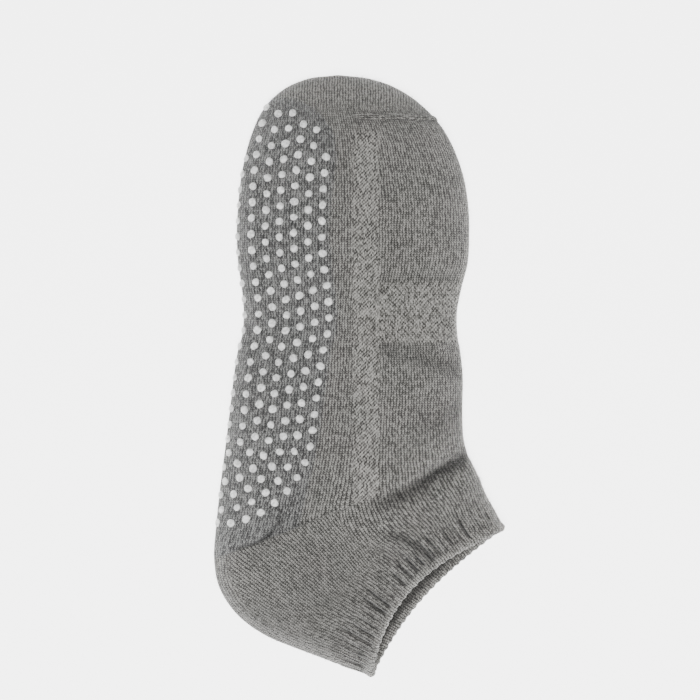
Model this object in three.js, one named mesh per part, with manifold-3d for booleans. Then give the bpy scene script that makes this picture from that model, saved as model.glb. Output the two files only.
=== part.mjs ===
// A low-cut grip sock, empty and slack, lying on its side: the fold along the middle of the sole is at
// -X, the fold along the instep and front of the leg is at +X, the toe points to +Y and the floor is z = 0.
// Units are millimetres. The origin is the middle of the footprint, on the floor.

import * as THREE from "three";
import { mergeVertices } from "three/addons/utils/BufferGeometryUtils.js";
import Module from "manifold-3d";

const wasm = await Module();
wasm.setup();

// Driving sizes of the sock.
const footLength = 240; // back of the heel to the tip of the toe
const ballWidth = 102.5; // sole fold to instep fold at the ball, laid flat
const instepLoft = 20; // outside height of the slack tube over the instep, between floor and upper wall
const ankleReach = 102; // sole line to the front of the ankle
const ankleHeight = 72; // back of the heel to the front of the ankle, along the foot
const legLength = 32.8; // front of the ankle to the corner line of the collar, along the leg
const collarWidth = 86.3; // back corner to front corner of the collar, laid flat
const legAngle = 41.6; // degrees that the leg turns down from the line across the foot
const collarDip = { upper: 13, lower: 6.2 }; // how far each wall's collar edge hangs back from the corners

// Walls.
const knitWall = 1.7;
const soleWall = 2.3; // plush loops inside the sole
const heelWall = 2.1;
const cuffWall = 2.6; // turned double welt
const jointGap = 0.3; // between pieces that meet
const cuffGap = 0.6; // the same where the cuff's many facets meet the upper's few
const foldShare = 0.28; // height of the two folds, as a share of the local height
const foldReach = 7; // how far the lower wall curls up at each fold
const domePower = 0.86; // under 1 the upper wall is flatter on top than an ellipse

// Sole, grip dots, cuff ribs and toe seam.
const plushMargin = 1.5; // plush knit beyond the outer dots
const dot = { radius: 2, height: 0.8, sink: 0.6, sides: 5 };
const gripField = {
  columns: 6, // on each wall, beside the one along the fold
  acrossPitch: 6.17,
  alongPitch: 6.9,
  firstFromFold: 0.7,
  heelCentre: 80.5, // back of the heel to the centre of the heel arcs
  toeCentre: 198, // back of the heel to the centre of the toe arc
  toeReach: 25.5,
};
const rib = { count: 46, proud: 0.55, groove: 0.1 };
const toeSeam = { width: 2.8, proud: 1.1, fromHeel: 220.5, endShare: 0.52 };

// Sections of the foot from the toe to the back of the heel. Columns x are shares of ballWidth and
// columns y shares of footLength, at the sole fold and at the instep fold. rise is a share of instepLoft,
// lift a share of what the toe seam needs under it, and grip tells how much the sole stands on its dots.
const footSections = [
  { name: "tip", soleX: 0.395, soleY: 1.0, instepX: 0.48, instepY: 1.0, rise: 0.32, lift: 1, grip: 0 },
  { name: "toe end", soleX: 0.31, soleY: 0.995, instepX: 0.565, instepY: 0.995, rise: 0.41, lift: 1, grip: 0 },
  { name: "toe front", soleX: 0.218, soleY: 0.979, instepX: 0.66, instepY: 0.982, rise: 0.52, lift: 1, grip: 0 },
  { name: "toe side", soleX: 0.148, soleY: 0.955, instepX: 0.75, instepY: 0.96, rise: 0.61, lift: 1, grip: 1 },
  { name: "toe seam", soleX: 0.101, soleY: 0.928, instepX: 0.832, instepY: 0.93, rise: 0.69, lift: 1, grip: 1 },
  { name: "toe root", soleX: 0.067, soleY: 0.895, instepX: 0.895, instepY: 0.896, rise: 0.76, lift: 0.6, grip: 1 },
  { name: "ball start", soleX: 0.04, soleY: 0.857, instepX: 0.942, instepY: 0.856, rise: 0.82, lift: 0, grip: 1 },
  { name: "ball front", soleX: 0.019, soleY: 0.812, instepX: 0.977, instepY: 0.81, rise: 0.86, lift: 0, grip: 1 },
  { name: "ball", soleX: 0.006, soleY: 0.761, instepX: 0.996, instepY: 0.759, rise: 0.88, lift: 0, grip: 1 },
  { name: "ball back", soleX: 0, soleY: 0.708, instepX: 1, instepY: 0.708, rise: 0.88, lift: 0, grip: 1 },
  { name: "band start", soleX: 0.006, soleY: 0.656, instepX: 0.994, instepY: 0.656, rise: 0.86, lift: 0, grip: 1 },
  { name: "band", soleX: 0.021, soleY: 0.61, instepX: 0.968, instepY: 0.611, rise: 0.82, lift: 0, grip: 1 },
  { name: "band middle", soleX: 0.03, soleY: 0.566, instepX: 0.948, instepY: 0.566, rise: 0.8, lift: 0, grip: 1 },
  { name: "band end", soleX: 0.024, soleY: 0.524, instepX: 0.949, instepY: 0.524, rise: 0.82, lift: 0, grip: 1 },
  { name: "arch", soleX: 0.004, soleY: 0.492, instepX: 0.962, instepY: 0.49, rise: 0.87, lift: 0, grip: 1 },
  { name: "instep", soleX: -0.013, soleY: 0.444, instepX: 0.972, instepY: 0.444, rise: 0.92, lift: 0, grip: 1 },
  { name: "instep back", soleX: -0.03, soleY: 0.381, instepX: 0.97, instepY: 0.389, rise: 0.96, lift: 0, grip: 1 },
  { name: "heel start", soleX: -0.049, soleY: 0.315, instepX: 0.972, instepY: 0.346, rise: 0.99, lift: 0, grip: 1 },
  { name: "heel front", soleX: -0.071, soleY: 0.242, instepX: 0.979, instepY: 0.324, rise: 1, lift: 0, grip: 1 },
  { name: "heel side", soleX: -0.088, soleY: 0.172, instepX: 0.987, instepY: 0.311, rise: 1, lift: 0, grip: 1 },
];

// Sections that turn round the heel, as shares of ankleReach and ankleHeight.
const heelSections = [
  { name: "gore", soleX: -0.097, soleY: 0.378, instepX: 1, instepY: 1, rise: 1, lift: 0, grip: 0.8, sag: 0 },
  { name: "heel back", soleX: -0.074, soleY: 0.198, instepX: 1.018, instepY: 0.954, rise: 0.98, lift: 0, grip: 0, sag: 0.05 },
  { name: "heel corner", soleX: 0.002, soleY: 0.034, instepX: 1.035, instepY: 0.906, rise: 0.96, lift: 0, grip: 0, sag: 0.15 },
  { name: "heel top", soleX: 0.119, soleY: -0.09, instepX: 1.052, instepY: 0.856, rise: 0.95, lift: 0, grip: 0, sag: 0.35 },
];

// Sections of the leg from the ankle to the collar: along is a share of legLength from the front of the
// ankle, across a share of collarWidth towards the back of the leg, and sag a share of collarDip.
const legSections = [
  { name: "leg", backAlong: 0.017, backAcross: 1.31, frontAlong: 0.43, frontAcross: 0.07, rise: 0.96, sag: 0.65 },
  { name: "cuff start", backAlong: 0.53, backAcross: 1.232, frontAlong: 0.6, frontAcross: 0.098, rise: 0.99, sag: 0.95 },
  { name: "collar", backAlong: 1, backAcross: 1.156, frontAlong: 1, frontAcross: 0.156, rise: 1.05, sag: 1 },
];

const degree = Math.PI / 180;
const legDirection = [Math.cos(legAngle * degree), -Math.sin(legAngle * degree)];
const backDirection = [-Math.sin(legAngle * degree), -Math.cos(legAngle * degree)];
const seamLift = toeSeam.proud + 0.15;
const dotClearance = 0.05;
const cuffLift = rib.proud + 0.05;
const outerColumn = gripField.firstFromFold + gripField.columns * gripField.acrossPitch;
const soleHalfWidth = outerColumn + dot.radius + plushMargin; // sole fold to the edge of the sole, over one wall

// One list of sections in millimetres, toe to collar.
function legPoint(along, across) {
  return [0, 1].map(
    (k) =>
      [ankleReach, ankleHeight][k] +
      legDirection[k] * along * legLength +
      backDirection[k] * across * collarWidth,
  );
}
const sections = [
  ...footSections.map((row) => ({
    name: row.name,
    sole: [row.soleX * ballWidth, row.soleY * footLength],
    instep: [row.instepX * ballWidth, row.instepY * footLength],
    height: row.rise * instepLoft,
    lift: row.lift * seamLift,
    grip: row.grip,
    sag: 0,
  })),
  ...heelSections.map((row) => ({
    name: row.name,
    sole: [row.soleX * ankleReach, row.soleY * ankleHeight],
    instep: [row.instepX * ankleReach, row.instepY * ankleHeight],
    height: row.rise * instepLoft,
    lift: 0,
    grip: row.grip,
    sag: row.sag,
  })),
  ...legSections.map((row) => ({
    name: row.name,
    sole: legPoint(row.backAlong, row.backAcross),
    instep: legPoint(row.frontAlong, row.frontAcross),
    height: row.rise * instepLoft,
    lift: row.name === "leg" ? 0 : cuffLift,
    grip: 0,
    sag: row.sag,
  })),
];
const sectionIndex = Object.fromEntries(sections.map((section, i) => [section.name, i]));
const lastSection = sections.length - 1;

// A smooth curve through the sections: value(i) gives the number to blend at section i.
function blend(t, value) {
  const i = Math.min(Math.max(Math.floor(t), 0), lastSection - 1);
  const f = t - i;
  const get = (k) => value(sections[Math.min(Math.max(k, 0), lastSection)]);
  const [a, b, c, d] = [get(i - 1), get(i), get(i + 1), get(i + 2)];
  return b + 0.5 * f * (c - a + f * (2 * a - 5 * b + 4 * c - d + f * (3 * (b - c) + d - a)));
}

function smoothStep(low, high, value) {
  const f = Math.min(Math.max((value - low) / (high - low), 0), 1);
  return f * f * (3 - 2 * f);
}

// The point of the outside at section t and turn. turn 0 is the sole fold, 0 to 0.5 goes over the upper
// wall to the instep fold, and 0.5 to 1 comes back along the floor.
function skinPoint(t, turn) {
  const soleX = blend(t, (s) => s.sole[0]);
  const soleY = blend(t, (s) => s.sole[1]);
  const acrossX = blend(t, (s) => s.instep[0]) - soleX;
  const acrossY = blend(t, (s) => s.instep[1]) - soleY;
  const width = Math.hypot(acrossX, acrossY);
  const height = blend(t, (s) => s.height);
  const foldHeight = foldShare * height;
  const reach = Math.min(foldReach, 0.4 * width);
  const over = turn - Math.floor(turn);
  let across;
  let z;
  if (over <= 0.5) {
    const angle = 2 * Math.PI * over;
    const side = Math.cos(angle);
    across = 0.5 * width * (1 - Math.sign(side) * Math.abs(side) ** domePower);
    z = foldHeight + (height - foldHeight) * Math.abs(Math.sin(angle)) ** domePower;
  } else {
    const curlShare = 1 / 6;
    const back = (over - 0.5) / 0.5;
    const curl = Math.min(back, 1 - back) / curlShare;
    const flat = (back - curlShare) / (1 - 2 * curlShare);
    const angle = Math.min(curl, 1) * 0.5 * Math.PI;
    const inFromFold = reach * (1 - Math.cos(angle));
    across = back < 0.5 ? width - inFromFold : inFromFold;
    if (curl > 1) across = width - reach - flat * (width - 2 * reach);
    const grip = (dot.height + dotClearance) * blend(t, (s) => s.grip);
    const onDots = grip * (1 - smoothStep(soleHalfWidth, soleHalfWidth + 12, across));
    const lift = Math.max(blend(t, (s) => s.lift), onDots, 0);
    z = lift + (foldHeight - lift) * (1 - Math.sin(angle));
  }
  const share = across / width;
  const dip = over <= 0.5 ? collarDip.upper : collarDip.lower;
  const hang = dip * blend(t, (s) => s.sag) * Math.sin(Math.PI * (1 - share) ** 1.12) ** 0.85;
  return new THREE.Vector3(
    soleX + acrossX * share - hang * legDirection[0],
    soleY + acrossY * share - hang * legDirection[1],
    z,
  );
}

// The same point moved out along the surface's own normal, or in where outset is negative.
function wallPoint(t, turn, outset) {
  const step = 0.004;
  const at = skinPoint(t, turn);
  const alongFoot = skinPoint(t + step, turn).sub(skinPoint(Math.max(t - step, 0), turn));
  const around = skinPoint(t, turn + step).sub(skinPoint(t, turn - step));
  return at.addScaledVector(alongFoot.cross(around).normalize(), outset);
}

function toSolid(geometry) {
  const bare = geometry.index ? geometry.toNonIndexed() : geometry.clone();
  bare.deleteAttribute("normal");
  bare.deleteAttribute("uv");
  const merged = mergeVertices(bare, 1e-4);
  return new wasm.Manifold(
    new wasm.Mesh({
      numProp: 3,
      vertProperties: new Float32Array(merged.attributes.position.array),
      triVerts: new Uint32Array(merged.index.array),
    }),
  );
}

function toGeometry(solid) {
  const mesh = solid.getMesh();
  const geometry = new THREE.BufferGeometry();
  geometry.setAttribute("position", new THREE.Float32BufferAttribute(mesh.vertProperties, 3));
  geometry.setIndex(new THREE.Uint32BufferAttribute(mesh.triVerts, 1));
  const flat = geometry.toNonIndexed();
  flat.computeVertexNormals();
  return flat;
}

// A hollow wall between two outsets over the sections in rows and the turns round them, with the toe
// closed where closeToe is set and every other end finished by a rim. outer and inner give the outset
// at a row and a column.
function hollowWall({ rows, turns, outer, inner, closeToe = false }) {
  const columns = turns.length;
  const positions = [];
  const index = [];
  const sheets = [outer, inner].map((outset) =>
    rows.map((t, i) =>
      turns.map((turn, j) => {
        positions.push(...wallPoint(t, turn, outset(i, j)).toArray());
        return positions.length / 3 - 1;
      }),
    ),
  );
  const quad = (a, b, c, d) => index.push(a, c, b, a, d, c);
  const next = (j) => (j + 1) % columns;
  const [outside, inside] = sheets;
  for (let i = 0; i + 1 < rows.length; i++) {
    for (let j = 0; j < columns; j++) {
      quad(outside[i][j], outside[i][next(j)], outside[i + 1][next(j)], outside[i + 1][j]);
      quad(inside[i][j], inside[i + 1][j], inside[i + 1][next(j)], inside[i][next(j)]);
    }
  }
  const end = rows.length - 1;
  for (let j = 0; j < columns; j++) {
    quad(outside[end][j], outside[end][next(j)], inside[end][next(j)], inside[end][j]);
    if (!closeToe) quad(outside[0][j], inside[0][j], inside[0][next(j)], outside[0][next(j)]);
  }
  if (closeToe) {
    for (const [ring, outset, facing] of [
      [outside[0], outer(0, 0), 1],
      [inside[0], inner(0, 0), -1],
    ]) {
      const middle = ring.reduce(
        (sum, k) => sum.map((v, axis) => v + positions[3 * k + axis] / columns),
        [0, 0, 0],
      );
      positions.push(middle[0], middle[1] + (outset < 0 ? 0 : outset), middle[2]);
      const tip = positions.length / 3 - 1;
      for (let j = 0; j < columns; j++) {
        if (facing > 0) index.push(tip, ring[j], ring[next(j)]);
        else index.push(tip, ring[next(j)], ring[j]);
      }
    }
  }
  const geometry = new THREE.BufferGeometry();
  geometry.setAttribute("position", new THREE.Float32BufferAttribute(positions, 3));
  geometry.setIndex(index);
  return toSolid(geometry);
}

// A plan outline as an upright block through both walls. The edge runs from beyond the sole fold, over
// the wall and back beyond the sole fold, and grow moves it outward.
function uprightBlock(edge, grow) {
  const shape = new THREE.Shape(
    edge.map((point, i) => {
      const before = edge[Math.max(i - 1, 0)];
      const after = edge[Math.min(i + 1, edge.length - 1)];
      const along = new THREE.Vector2().subVectors(after, before).normalize();
      return new THREE.Vector2(point.x - grow * along.y, point.y + grow * along.x);
    }),
  );
  const block = new THREE.ExtrudeGeometry(shape, { depth: 3 * instepLoft, bevelEnabled: false, steps: 1 });
  return toSolid(block.translate(0, 0, -instepLoft));
}

// A point in plan on section t, share of the way from the sole fold to the instep fold.
function planPoint(t, share) {
  const at = (axis) => blend(t, (s) => s.sole[axis] + share * (s.instep[axis] - s.sole[axis]));
  return new THREE.Vector2(at(0), at(1));
}

// The section through a point in plan and the share of the way across, by halving the range of sections.
function sectionThrough(x, y) {
  let [low, high] = [0, lastSection];
  while (high - low > 1e-4) {
    const t = 0.5 * (low + high);
    const sole = planPoint(t, 0);
    const instep = planPoint(t, 1);
    const ahead = (instep.x - sole.x) * (y - sole.y) - (instep.y - sole.y) * (x - sole.x);
    if (ahead > 0) high = t;
    else low = t;
  }
  const sole = planPoint(low, 0);
  return { t: low, share: new THREE.Vector2(x, y).distanceTo(sole) / planPoint(low, 1).distanceTo(sole) };
}

// The turn on the upper or the lower wall at a share of the way across, by halving.
function turnAcross(t, share, wall) {
  let [low, high] = wall === "upper" ? [0, 0.5] : [1, 0.5];
  const sole = planPoint(t, 0);
  const width = planPoint(t, 1).distanceTo(sole);
  while (Math.abs(high - low) > 1e-5) {
    const turn = 0.5 * (low + high);
    const point = skinPoint(t, turn);
    if (Math.hypot(point.x - sole.x, point.y - sole.y) / width < share) low = turn;
    else high = turn;
  }
  return low;
}

// Turns that part the girth at section t into equal lengths, from the sole fold round.
function evenTurns(t, count) {
  const steps = 720;
  const lengths = [0];
  for (let k = 1; k <= steps; k++) {
    const stride = skinPoint(t, k / steps).distanceTo(skinPoint(t, (k - 1) / steps));
    lengths.push(lengths[k - 1] + stride);
  }
  return Array.from({ length: count }, (_, j) => {
    const wanted = (j / count) * lengths[steps];
    const k = lengths.findIndex((length) => length > wanted);
    return (k - 1 + (wanted - lengths[k - 1]) / (lengths[k] - lengths[k - 1])) / steps;
  });
}

// The sections up to one of them, with halfway ones round the heel.
function rowsUpTo(end) {
  const rows = [];
  for (let t = 0; t < end; t += t >= goreRow && t < sectionIndex["heel top"] ? 0.5 : 1) rows.push(t);
  return [...rows, end];
}

const clear = 0.5 * jointGap;
const wallTurns = Array.from({ length: 32 }, (_, j) => j / 32);
const cuffRow = sectionIndex["cuff start"];
const cuffHeight = legLength * (1 - legSections[1].backAlong); // at the back of the leg
const goreRow = sectionIndex.gore;
const goreApex = 0.49; // share of the way across
const goreJoin = 0.33; // where the side of the sole meets the gore

// The line down the middle of the sole, which runs a little outside the fold where the toe rounds in.
function soleLine(y) {
  const fold = planPoint(sectionThrough(0, y).t, 0).x;
  return fold > 0 && y > gripField.toeCentre - gripField.toeReach ? 0.55 * fold : fold;
}

// The edge of the sole: an arc under the toes from beyond the sole fold, back beside the outer column
// of dots, and in along the heel gore to beyond the sole fold again.
const soleSide = [
  { at: "ball back", fromFold: 1 },
  { at: "band", fromFold: 1 },
  { at: "arch", fromFold: 1 },
  { at: "instep back", fromFold: 1 },
  { at: "heel front", fromFold: 0.99 },
  { at: "heel side", fromFold: 0.93 },
];
const frontMargin = dot.radius + 2.7 * plushMargin; // plush beyond the first dots
const frontArc = [1.05, 0.85, 0.65, 0.45, 0.25, 0.05].map((quarters) => {
  const angle = quarters * 0.5 * Math.PI;
  const y = gripField.toeCentre + (gripField.toeReach + frontMargin) * Math.sin(angle);
  return new THREE.Vector2(soleLine(y) + soleHalfWidth * Math.cos(angle), y);
});
const sideLine = soleSide.map(({ at, fromFold }) => {
  const t = sectionIndex[at];
  const width = planPoint(t, 0).distanceTo(planPoint(t, 1));
  return planPoint(t, (fromFold * soleHalfWidth) / width);
});
const soleEdge = [
  ...new THREE.SplineCurve([...frontArc, ...sideLine, planPoint(goreRow, goreJoin)]).getPoints(30),
  planPoint(goreRow, -0.1),
];

// The edge of the heel pocket: up the gore to its rounded apex, then down to the back of the leg.
const heelEdge = [
  planPoint(goreRow, -0.1),
  planPoint(goreRow, goreApex - 0.05),
  planPoint(goreRow + 0.2, goreApex),
  planPoint(goreRow + 0.8, goreApex - 0.02),
  planPoint(sectionIndex.leg, -0.02),
  planPoint(sectionIndex.leg, -0.12),
];

// The whole knitted tube at one wall thickness. Each zone is cut from it by the same two edges.
function knitTube(wall) {
  return hollowWall({
    rows: rowsUpTo(cuffRow - (0.5 * cuffGap) / cuffHeight),
    turns: wallTurns,
    outer: () => 0,
    inner: () => -wall,
    closeToe: true,
  });
}

function makeUpper() {
  const opened = knitTube(knitWall).subtract(uprightBlock(soleEdge, clear));
  return opened.subtract(uprightBlock(heelEdge, clear));
}

function makeHeelPocket() {
  return knitTube(heelWall).intersect(uprightBlock(heelEdge, -clear));
}

// Places of the dots, each with its section, turn and wall: columns beside the sole fold that end on the
// arc under the toes, and turn through a quarter circle round the heel.
function dotPlaces() {
  const places = [];
  const { columns, acrossPitch, alongPitch, firstFromFold, heelCentre, toeCentre, toeReach } = gripField;
  for (let column = 0; column <= columns; column++) {
    const fromFold = firstFromFold + column * acrossPitch;
    const frontShare = Math.sqrt(Math.max(1 - (column / (columns + 0.1)) ** 2, 0));
    const front = toeCentre + toeReach * frontShare;
    const straight = front - heelCentre;
    const quarter = 0.5 * Math.PI * fromFold;
    const count = Math.round((straight + quarter) / alongPitch);
    for (let k = 0; k <= count; k++) {
      const travelled = (k / count) * (straight + quarter) - (column % 2) * 0.3 * alongPitch;
      const angle = Math.min(Math.max((travelled - straight) / Math.max(fromFold, 0.1), 0), 0.5 * Math.PI);
      const y = travelled < straight ? front - travelled : heelCentre - fromFold * Math.sin(angle);
      const x = soleLine(y) + fromFold * Math.cos(angle);
      const { t, share } = sectionThrough(x, y);
      const width = planPoint(t, 0).distanceTo(planPoint(t, 1));
      const foldOffset = planPoint(t, 0).x - soleLine(y);
      if (column === 0 && foldOffset > dot.radius) continue;
      const onFold = column === 0 || share * width < dot.radius;
      const shareIn = Math.max(share, firstFromFold / width);
      for (const wall of onFold ? ["upper"] : ["upper", "lower"]) {
        places.push({ t, turn: turnAcross(t, shareIn, wall), wall });
      }
    }
  }
  return places;
}

// One dot: a low cone, sunk a little into the knit so that it joins.
function makeDot({ t, turn }) {
  const step = 0.004;
  const base = wallPoint(t, turn, 0);
  const normal = wallPoint(t, turn, 1).sub(base).normalize();
  const side = wallPoint(t, turn + step, 0).sub(base);
  side.addScaledVector(normal, -side.dot(normal)).normalize();
  const cone = new THREE.ConeGeometry(dot.radius, dot.height + dot.sink, dot.sides, 1);
  const frame = new THREE.Matrix4().makeBasis(side, normal, new THREE.Vector3().crossVectors(side, normal));
  cone.translate(0, 0.5 * (dot.height - dot.sink), 0).applyMatrix4(frame.setPosition(base));
  return toSolid(cone);
}

function makeSole() {
  const panel = knitTube(soleWall).intersect(uprightBlock(soleEdge, -clear));
  return dotPlaces().reduce((sole, place) => sole.add(makeDot(place)), panel);
}

// The cuff: a double welt with ribs along the leg, thicker than the knit and rolled at the collar.
function makeCuff() {
  const profile = [
    { along: (0.5 * cuffGap) / cuffHeight, proud: 0.3 },
    { along: 0.2, proud: 1 },
    { along: 0.9, proud: 0.95 },
    { along: 1, proud: 0.2 },
  ];
  return hollowWall({
    rows: profile.map(({ along }) => cuffRow + along),
    turns: evenTurns(lastSection, 2 * rib.count),
    outer: (i, j) => profile[i].proud * (j % 2 ? rib.proud : rib.groove),
    inner: (i) => (profile[i].proud * 0.5 - 0.5) * rib.proud - cuffWall + rib.proud,
  });
}

// The linked toe seam: a low ridge over the instep fold, from wall to wall.
function makeToeSeam() {
  const { t } = sectionThrough(0.5 * ballWidth, toeSeam.fromHeel);
  const rowLength = planPoint(t - 0.5, 0.5).distanceTo(planPoint(t + 0.5, 0.5));
  const reach = (0.5 * toeSeam.width) / rowLength;
  const ridge = [0.35, 0.85, 1, 0.85, 0.35];
  const band = hollowWall({
    rows: ridge.map((_, i) => t + reach * (i / 2 - 1)),
    turns: wallTurns,
    outer: (i) => jointGap + (toeSeam.proud - jointGap) * ridge[i],
    inner: () => jointGap,
  });
  const end = (along, share) => planPoint(t + along, share);
  return band.intersect(
    uprightBlock([end(-1, toeSeam.endShare), end(-1, 1.3), end(1, 1.3), end(1, toeSeam.endShare)].reverse(), 0),
  );
}

const greyKnit = { color: 0xa6a4a3, roughness: 0.95 };
const plushKnit = { color: 0x8e9094, roughness: 0.97 };
const group = new THREE.Group();
for (const [name, solid, look] of [
  ["upper", makeUpper(), greyKnit],
  ["sole", makeSole(), plushKnit],
  ["heel_pocket", makeHeelPocket(), greyKnit],
  ["cuff", makeCuff(), greyKnit],
  ["toe_seam", makeToeSeam(), greyKnit],
]) {
  const mesh = new THREE.Mesh(toGeometry(solid), new THREE.MeshStandardMaterial(look));
  mesh.name = name;
  group.add(mesh);
}
const box = new THREE.Box3().setFromObject(group);
group.position.set(-0.5 * (box.min.x + box.max.x), -0.5 * (box.min.y + box.max.y), -box.min.z);
export default group;
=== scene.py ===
import math
import bpy
import numpy as np
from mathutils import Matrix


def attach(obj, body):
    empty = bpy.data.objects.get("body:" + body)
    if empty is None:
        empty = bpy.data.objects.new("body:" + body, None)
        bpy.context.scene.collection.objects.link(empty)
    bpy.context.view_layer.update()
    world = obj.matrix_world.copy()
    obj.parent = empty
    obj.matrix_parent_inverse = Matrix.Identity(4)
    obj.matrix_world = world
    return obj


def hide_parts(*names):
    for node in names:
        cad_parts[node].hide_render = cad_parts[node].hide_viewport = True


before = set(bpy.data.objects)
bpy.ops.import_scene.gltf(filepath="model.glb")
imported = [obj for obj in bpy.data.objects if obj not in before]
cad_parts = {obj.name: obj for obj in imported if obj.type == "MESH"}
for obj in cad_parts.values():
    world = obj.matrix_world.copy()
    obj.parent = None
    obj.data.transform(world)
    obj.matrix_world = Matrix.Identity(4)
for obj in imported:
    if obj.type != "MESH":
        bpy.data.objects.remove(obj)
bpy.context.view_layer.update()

# Lengths below are in millimetres, in the sock's own plan: x from the line of the sole, y from the back
# of the heel, z from the floor. toFrame turns them into metres in the frame.
mm = 0.001
footprintMiddle = np.array([53.85, 107.80, 0.0])

sock = {
    "footLength": 240.0,
    "ballWidth": 102.5,
    "instepLoft": 20.0,
    "ankleReach": 102.0,
    "ankleHeight": 72.0,
    "legLength": 32.8,
    "collarWidth": 86.3,
    "legAngle": 41.6,
    "dipUpper": 13.0,
    "dipLower": 6.2,
    "foldShare": 0.28,
    "foldReach": 7.0,
    "reachShare": 0.4,
    "domePower": 0.86,
    "soleHalfWidth": 41.2,
    "gripFade": 12.0,
    "sagSkew": 1.12,
    "sagFullness": 0.85,
    "seamLift": 1.25,
    "cuffLift": 0.6,
    "wall": 1.7,
    "wales": 172,
    "coursePitch": 1.02,
    "fanPitch": 1.2,
    "clearance": 0.05,
}
dots = {
    "columns": 6,
    "acrossPitch": 6.17,
    "alongPitch": 6.9,
    "firstFromFold": 0.7,
    "heelCentre": 80.5,
    "toeCentre": 198.0,
    "toeReach": 25.5,
    "toeDraw": 0.55,
    "stagger": 0.3,
    "radius": 1.78,
    "radiusRange": (0.87, 1.03),
    "squeeze": 0.09,
    "lumps": 0.045,
    "height": 0.8,
    "heightRange": (0.85, 1.0),
    "segments": 12,
    "rings": [(1.04, -0.6), (1.0, 0.15), (0.86, 0.62), (0.5, 0.95)],
    "pitShare": 0.16,
    "pitHeight": 0.55,
    "seed": 11,
}

# Sections from the toe to the heel. The four columns first are both folds in shares of the width and the
# length, then height, lift and grip as shares.
footSections = [
    (0.395, 1.0, 0.48, 1.0, 0.32, 1, 0),  # tip of the toe
    (0.31, 0.995, 0.565, 0.995, 0.41, 1, 0),
    (0.218, 0.979, 0.66, 0.982, 0.52, 1, 0),
    (0.148, 0.955, 0.75, 0.96, 0.61, 1, 1),
    (0.101, 0.928, 0.832, 0.93, 0.69, 1, 1),  # toe seam
    (0.067, 0.895, 0.895, 0.896, 0.76, 0.6, 1),
    (0.04, 0.857, 0.942, 0.856, 0.82, 0, 1),
    (0.019, 0.812, 0.977, 0.81, 0.86, 0, 1),
    (0.006, 0.761, 0.996, 0.759, 0.88, 0, 1),  # ball
    (0, 0.708, 1, 0.708, 0.88, 0, 1),
    (0.006, 0.656, 0.994, 0.656, 0.86, 0, 1),
    (0.021, 0.61, 0.968, 0.611, 0.82, 0, 1),  # arch band
    (0.03, 0.566, 0.948, 0.566, 0.8, 0, 1),
    (0.024, 0.524, 0.949, 0.524, 0.82, 0, 1),
    (0.004, 0.492, 0.962, 0.49, 0.87, 0, 1),
    (-0.013, 0.444, 0.972, 0.444, 0.92, 0, 1),  # instep
    (-0.03, 0.381, 0.97, 0.389, 0.96, 0, 1),
    (-0.049, 0.315, 0.972, 0.346, 0.99, 0, 1),
    (-0.071, 0.242, 0.979, 0.324, 1, 0, 1),
    (-0.088, 0.172, 0.987, 0.311, 1, 0, 1),
]
# The same round the heel, in shares of the ankle, with grip and sag last.
heelSections = [
    (-0.097, 0.378, 1, 1, 1, 0.8, 0),  # heel gore
    (-0.074, 0.198, 1.018, 0.954, 0.98, 0, 0.05),
    (0.002, 0.034, 1.035, 0.906, 0.96, 0, 0.15),
    (0.119, -0.09, 1.052, 0.856, 0.95, 0, 0.35),
]
# The leg: along and across at the back, along and across at the front, height, lift, sag.
legSections = [
    (0.017, 1.31, 0.43, 0.07, 0.96, 0, 0.65),
    (0.53, 1.232, 0.6, 0.098, 0.99, 1, 0.95),  # cuff start
    (1, 1.156, 1, 0.156, 1.05, 1, 1),  # collar
]
goreRow = len(footSections)
legRow = goreRow + len(heelSections)
cuffRow = legRow + 1
collarRow = cuffRow + 1
legTurn = math.radians(sock["legAngle"])
legWay = np.array([math.cos(legTurn), -math.sin(legTurn)])
backWay = np.array([-math.sin(legTurn), -math.cos(legTurn)])


# One row per section, in millimetres: both folds in plan, height, lift, grip, sag. The leg's folds are
# ankle + along the leg * share * leg length + back across it * share * collar width.
def sectionTable():
    rows = []
    w, l = sock["ballWidth"], sock["footLength"]
    for a, b, c, d, rise, lift, grip in footSections:
        rows.append([a * w, b * l, c * w, d * l, rise, lift * sock["seamLift"], grip, 0])
    w, l = sock["ankleReach"], sock["ankleHeight"]
    for a, b, c, d, rise, grip, sag in heelSections:
        rows.append([a * w, b * l, c * w, d * l, rise, 0, grip, sag])
    ankle = np.array([w, l])
    for a, b, c, d, rise, lift, sag in legSections:
        sole = ankle + legWay * a * sock["legLength"] + backWay * b * sock["collarWidth"]
        front = ankle + legWay * c * sock["legLength"] + backWay * d * sock["collarWidth"]
        rows.append([*sole, *front, rise, lift * sock["cuffLift"], 0, sag])
    table = np.array(rows, dtype=float)
    table[:, 4] *= sock["instepLoft"]
    return table


sections = sectionTable()


# Catmull-Rom through the sections at every t of an array: one value for each column of the table. With f
# the share between b and c it is b + f / 2 * (c - a + f * (2a - 5b + 4c - d + f * (3(b - c) + d - a))).
def blendSections(t):
    last = len(sections) - 1
    i = np.clip(np.floor(t).astype(int), 0, last - 1)
    f = (t - i)[..., None]
    a, b, c, d = [sections[np.clip(i + k, 0, last)] for k in (-1, 0, 1, 2)]
    return b + 0.5 * f * (c - a + f * (2 * a - 5 * b + 4 * c - d + f * (3 * (b - c) + d - a)))


# 0 below low, 1 above high and 3f^2 - 2f^3 of the share f between them.
def smoothStep(low, high, x):
    f = np.clip((x - low) / (high - low), 0, 1)
    return f * f * (3 - 2 * f)


# A bell: e to the minus square of x / width.
def hump(x, width):
    return np.exp(-((x / width) ** 2))


# 1 between two soft edges, each a pair of where it begins and where it is done.
def between(start, end, x):
    return smoothStep(*start, x) * (1 - smoothStep(*end, x))


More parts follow.
